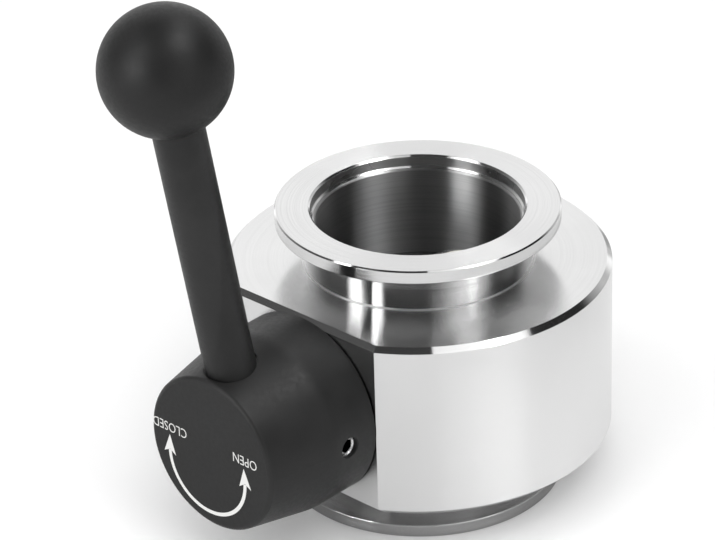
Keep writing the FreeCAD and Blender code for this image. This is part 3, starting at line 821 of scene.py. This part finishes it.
def soft_box_group():
    """Node group: one soft-edged patch of light between two azimuths and two elevations, in degrees."""
    tree = bpy.data.node_groups.new("Soft box", "ShaderNodeTree")
    for label in ("Azimuth", "Elevation", "Left", "Right", "Low", "High", "Soft Left", "Soft Right",
                  "Soft Height", "Level"):
        tree.interface.new_socket(label, in_out="INPUT", socket_type="NodeSocketFloat")
    tree.interface.new_socket("Light", in_out="OUTPUT", socket_type="NodeSocketFloat")
    given = add_node(tree, "NodeGroupInput").outputs
    light = given["Level"]
    for value, low, high, before, after in (("Azimuth", "Left", "Right", "Soft Left", "Soft Right"),
                                            ("Elevation", "Low", "High", "Soft Height", "Soft Height")):
        start = add_node(tree, "ShaderNodeMath", [given[low], given[before]], operation="SUBTRACT")
        end = add_node(tree, "ShaderNodeMath", [given[high], given[after]], operation="ADD")
        rise = add_node(tree, "ShaderNodeMapRange", [given[value], start, given[low]], **SMOOTH)
        fall = add_node(tree, "ShaderNodeMapRange", [given[value], given[high], end, 1.0, 0.0], **SMOOTH)
        light = add_node(tree, "ShaderNodeMath", [light, rise], operation="MULTIPLY")
        light = add_node(tree, "ShaderNodeMath", [light, fall], operation="MULTIPLY")
    add_node(tree, "NodeGroupOutput", [light])
    return tree


class VALVE_OT_stage(bpy.types.Operator):
    """Set up the floor, the studio light and the camera"""
    bl_idname = "valve.stage"
    bl_label = "Stage"

    def execute(self, context):
        self.make_floor(context)
        self.make_world(context)
        self.make_lamps(context)
        self.make_camera(context)
        context.scene.view_settings.view_transform = "Standard"
        return {"FINISHED"}

    def make_floor(self, context):
        """Round sheet of matt white paper, far wider than the picture, with painted shade that only the
        metal's gloss sees.
        """
        shape = bmesh.new()
        bmesh.ops.create_circle(shape, cap_ends=True, segments=96, radius=4.0)
        bmesh.ops.recalc_face_normals(shape, faces=shape.faces)
        mesh = bpy.data.meshes.new("floor")
        shape.to_mesh(mesh)
        shape.free()
        floor = bpy.data.objects.new("floor", mesh)
        context.scene.collection.objects.link(floor)
        # Paper is matt, with a fine tooth that doesn't show from this far
        paper, tree = new_material("Matt white paper")
        place = add_node(tree, "ShaderNodeTexCoord").outputs["Object"]
        tooth = add_node(tree, "ShaderNodeTexNoise", {"Vector": place, "Scale": 900.0, "Detail": 2.0})
        bump = add_node(tree, "ShaderNodeBump", {"Height": tooth, "Distance": 0.01 * MM, "Strength": 0.4})
        # Painted shade: for glossy rays only, the paper's colour is darkened ring by ring, most under the foot
        mirrored = add_node(tree, "ShaderNodeLightPath").outputs["Is Glossy Ray"]
        shade = self.floor_shade(tree, place)
        shade = add_node(tree, "ShaderNodeMath", [shade, mirrored], operation="MULTIPLY")
        white = list(context.scene.valve_colours.floor)
        tone = add_node(tree, "ShaderNodeMix", {0: shade, 6: white, 7: BLACK}, data_type="RGBA").outputs[2]
        finish_material(tree, {"Base Color": tone, "Roughness": 0.9, "Normal": bump,
                               "Specular IOR Level": 0.2})
        mesh.materials.append(paper)

    def floor_shade(self, tree, place):
        """Painted shade on the floor, seen only in the gloss: how much darker the metal mirrors each place of
        it.
        """
        distance = distance_from_axis(tree, place, (1, 1, 0))
        side = math.radians(CAMERA_SIDE)
        rightwards = (math.cos(side), math.sin(side), 0)
        across = add_node(tree, "ShaderNodeVectorMath", [place, rightwards], operation="DOT_PRODUCT")
        across = across.outputs["Value"]
        shade = FOOT_SHADE
        for start, whole, left, right, left_shade, right_shade in FLOOR_RINGS:
            reached = add_node(tree, "ShaderNodeMapRange", [distance, start * MM, whole * MM], **SMOOTH)
            limits = [across, left * MM, right * MM, left_shade, right_shade]
            ring = add_node(tree, "ShaderNodeMapRange", limits, **SMOOTH)
            shade = add_node(tree, "ShaderNodeMix", {0: reached, 2: shade, 3: ring}).outputs[0]
        return shade

    def make_world(self, context):
        """White to the camera, plain light on matt surfaces, and a studio of soft boxes in the gloss."""
        world = bpy.data.worlds.new("Studio")
        context.scene.world = world
        world.use_nodes = True
        tree = world.node_tree
        tree.nodes.clear()
        direction = add_node(tree, "ShaderNodeTexCoord").outputs["Generated"]
        parts = add_node(tree, "ShaderNodeSeparateXYZ", [direction]).outputs
        forwards = add_node(tree, "ShaderNodeMath", [parts["Y"], -1], operation="MULTIPLY")
        azimuth = add_node(tree, "ShaderNodeMath", [parts["X"], forwards], operation="ARCTAN2")
        azimuth = add_node(tree, "ShaderNodeMath", [azimuth], operation="DEGREES")
        azimuth = add_node(tree, "ShaderNodeMath", [azimuth, CAMERA_SIDE], operation="SUBTRACT")
        azimuth = add_node(tree, "ShaderNodeMath", [azimuth, 180.0, -180.0], operation="WRAP")
        elevation = add_node(tree, "ShaderNodeMath", [parts["Z"]], operation="ARCSINE")
        elevation = add_node(tree, "ShaderNodeMath", [elevation], operation="DEGREES")
        walls = 0.0
        for limits in BACK_WALLS:
            wall = add_node(tree, "ShaderNodeMapRange", [azimuth, *limits], **SMOOTH)
            walls = add_node(tree, "ShaderNodeMath", [walls, wall], operation="ADD")
        lower = add_node(tree, "ShaderNodeMapRange", [elevation, 46, 64, 1.0, 0.05], **SMOOTH)
        walls = add_node(tree, "ShaderNodeMath", [walls, lower], operation="MULTIPLY")
        room = add_node(tree, "ShaderNodeMapRange", [azimuth, *ROOM_LIGHT], **SMOOTH)
        light = add_node(tree, "ShaderNodeMath", [walls, room], operation="ADD")
        group = soft_box_group()
        for name, *sizes in SOFT_BOXES:
            box = add_node(tree, "ShaderNodeGroup", [azimuth, elevation, *sizes], node_tree=group, label=name)
            light = add_node(tree, "ShaderNodeMath", [light, box], operation="ADD")
        path = add_node(tree, "ShaderNodeLightPath").outputs
        level = add_node(tree, "ShaderNodeMix", {0: path["Is Glossy Ray"], 2: PLAIN_LIGHT, 3: light})
        level = add_node(tree, "ShaderNodeMix", {0: path["Is Camera Ray"], 2: level, 3: 1.0})
        background = add_node(tree, "ShaderNodeBackground", {"Color": WHITE, "Strength": level})
        add_node(tree, "ShaderNodeOutputWorld", [background])

    def make_lamps(self, context):
        """Two soft lamps, for the shadow and the shape of the matt pieces; the gloss doesn't show them."""
        for name, place, width, power in LAMPS:
            data = bpy.data.lights.new(name, "AREA")
            data.shape = "SQUARE"
            data.size = width
            data.energy = power
            lamp = bpy.data.objects.new(name, data)
            context.scene.collection.objects.link(lamp)
            lamp.location = place
            aim = Vector((0, -0.02, 0.04)) - Vector(place)
            lamp.rotation_euler = aim.to_track_quat("-Z", "Y").to_euler()
            lamp.visible_glossy = False

    def make_camera(self, context):
        """Camera where the photograph's stood, found by fitting the edges of flange, recess and body."""
        data = bpy.data.cameras.new("camera")
        data.sensor_width = 36.0
        # A long lens: 3522 pixels of focal length on a picture 716 pixels wide
        data.lens = 36.0 * 3522.168 / 716
        data.clip_start, data.clip_end = 0.01, 20.0
        camera = bpy.data.objects.new("camera", data)
        context.scene.collection.objects.link(camera)
        azimuth, elevation, roll = (math.radians(value) for value in (CAMERA_SIDE, 28.417, -1.791))
        right = Vector((math.cos(azimuth), math.sin(azimuth), 0))
        back = Vector((math.sin(azimuth) * math.cos(elevation), -math.cos(azimuth) * math.cos(elevation),
                       math.sin(elevation)))
        up = back.cross(right)
        across = right * math.cos(roll) + up * math.sin(roll)
        upward = up * math.cos(roll) - right * math.sin(roll)
        turn = Matrix((across, upward, back)).transposed().to_4x4()
        camera.matrix_world = Matrix.Translation((0.40308, -0.44175, 0.36744)) @ turn
        context.scene.camera = camera


OPERATORS = (VALVE_OT_ports, VALVE_OT_lever, VALVE_OT_marks, VALVE_OT_finishes, VALVE_OT_stage)


class VALVE_PT_panel(bpy.types.Panel):
    """Lists the valve's sizes, colours and pieces"""
    bl_idname = "VALVE_PT_panel"
    bl_label = "Lever vacuum valve"
    bl_space_type = "VIEW_3D"
    bl_region_type = "UI"
    bl_category = "Valve"

    def draw(self, context):
        scene = context.scene
        for group in (scene.valve_port, scene.valve_lever, scene.valve_marks, scene.valve_colours):
            column = self.layout.box().column()
            for key in group.bl_rna.properties.keys():
                if key not in ("rna_type", "name"):
                    column.prop(group, key)
        for operator in OPERATORS:
            self.layout.operator(operator.bl_idname)


GROUPS = {
    "valve_port": ValvePortSizes,
    "valve_lever": ValveLeverSizes,
    "valve_marks": ValveMarkSizes,
    "valve_colours": ValveColours,
}


def register():
    for name, group in GROUPS.items():
        bpy.utils.register_class(group)
        setattr(bpy.types.Scene, name, bpy.props.PointerProperty(type=group))
    for item in (*OPERATORS, VALVE_PT_panel):
        bpy.utils.register_class(item)


def unregister():
    for item in reversed((*OPERATORS, VALVE_PT_panel)):
        bpy.utils.unregister_class(item)
    for name, group in reversed(GROUPS.items()):
        delattr(bpy.types.Scene, name)
        bpy.utils.unregister_class(group)


def main():
    register()
    for operator in OPERATORS:
        group, name = operator.bl_idname.split(".")
        getattr(getattr(bpy.ops, group), name)()


if __name__ == "__main__":
    main()
